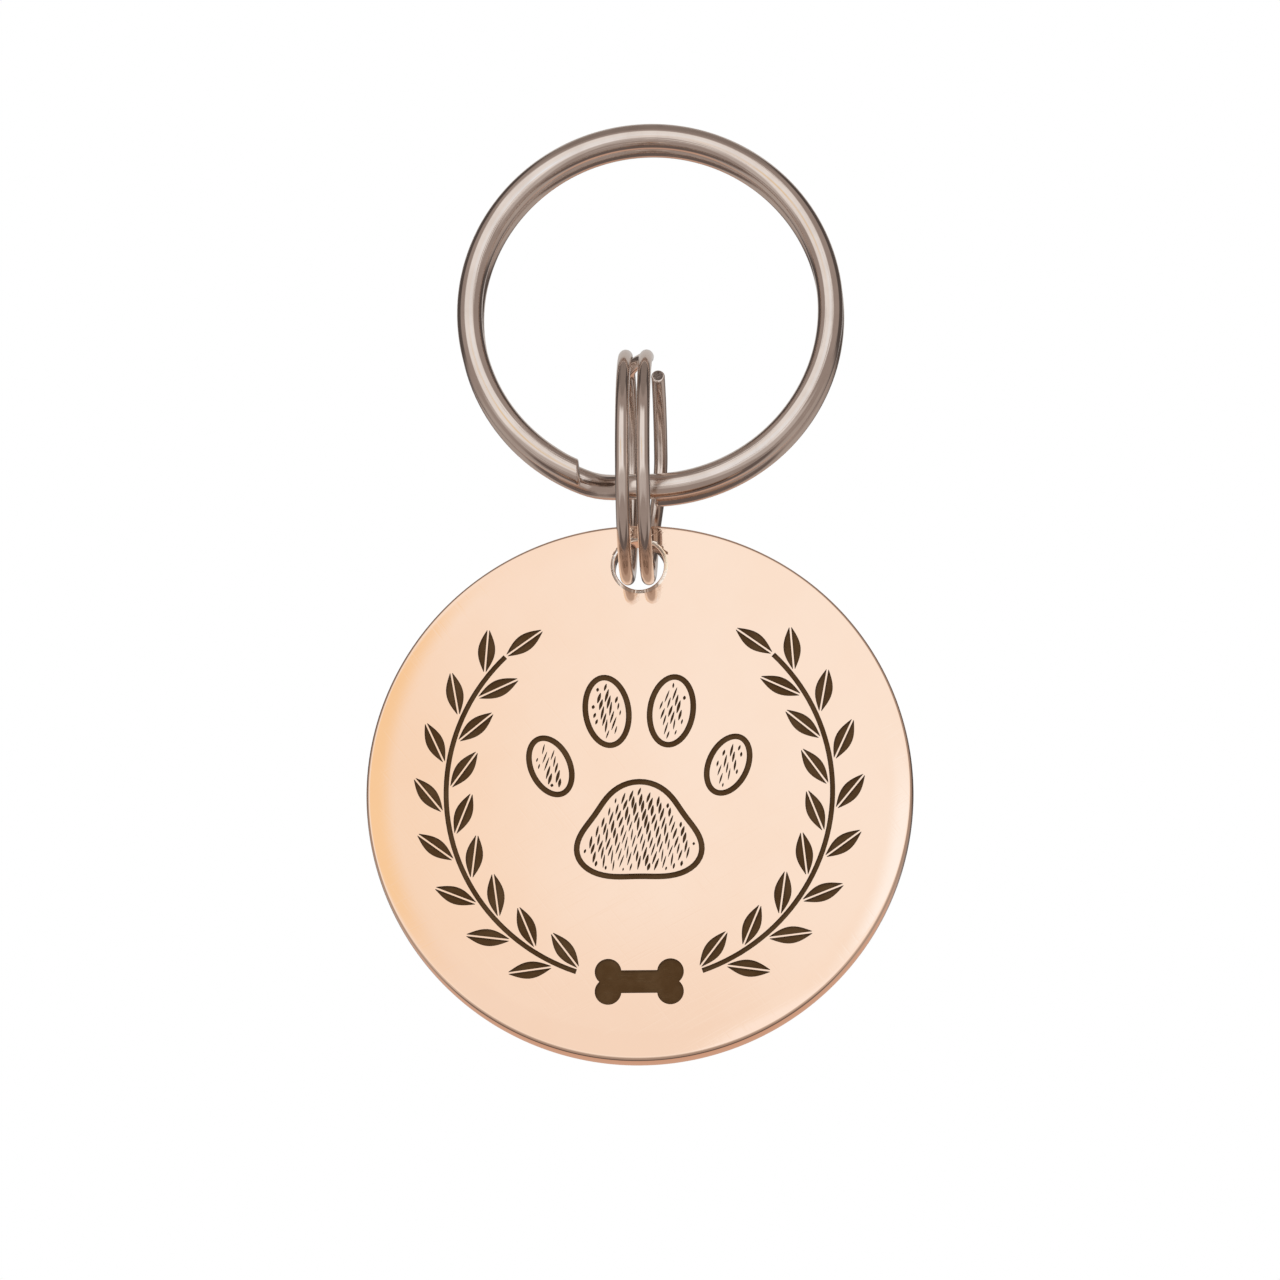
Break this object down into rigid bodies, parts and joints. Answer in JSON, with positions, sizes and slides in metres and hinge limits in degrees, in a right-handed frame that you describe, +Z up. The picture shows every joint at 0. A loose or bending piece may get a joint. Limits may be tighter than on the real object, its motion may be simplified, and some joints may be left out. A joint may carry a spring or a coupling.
{
  "type": "pet id tag",
  "caption": "Round polished pet tag with an engraved paw and wreath, on a small split ring that hangs from a larger split ring for the collar.",
  "frame": {"origin": "the inside of the collar ring's top, midway between its two turns, where the collar bears", "axes": "+X across the disc to the right, seen from the engraved face; +Y from the engraved face to the back; +Z up, along the tag"},
  "size_m": [0.032, 0.0138, 0.0565],
  "materials": {
    "rose_gold": "mirror-polished rose-gold plating on steel",
    "nickel_wire": "polished warm-grey nickel plating on spring steel wire"
  },
  "bodies": {
    "collar_ring": {"collar_ring": "nickel_wire"},
    "tag_ring": {"tag_ring": "nickel_wire"},
    "tag": {"tag_disc": "rose_gold"}
  },
  "joints": [
    {"name": "tag_ring_travel", "type": "hinge", "parent": "collar_ring", "child": "tag_ring", "pos_m": [0, -0.00009, -0.0099], "axis": [0, 1, -0.0087], "continuous": true},
    {"name": "tag_swing", "type": "hinge", "parent": "tag_ring", "child": "tag", "pos_m": [-0.0006, -0.00435, -0.02013], "axis": [-1, 0, 0], "range_deg": [-18, 190]}
  ]
}
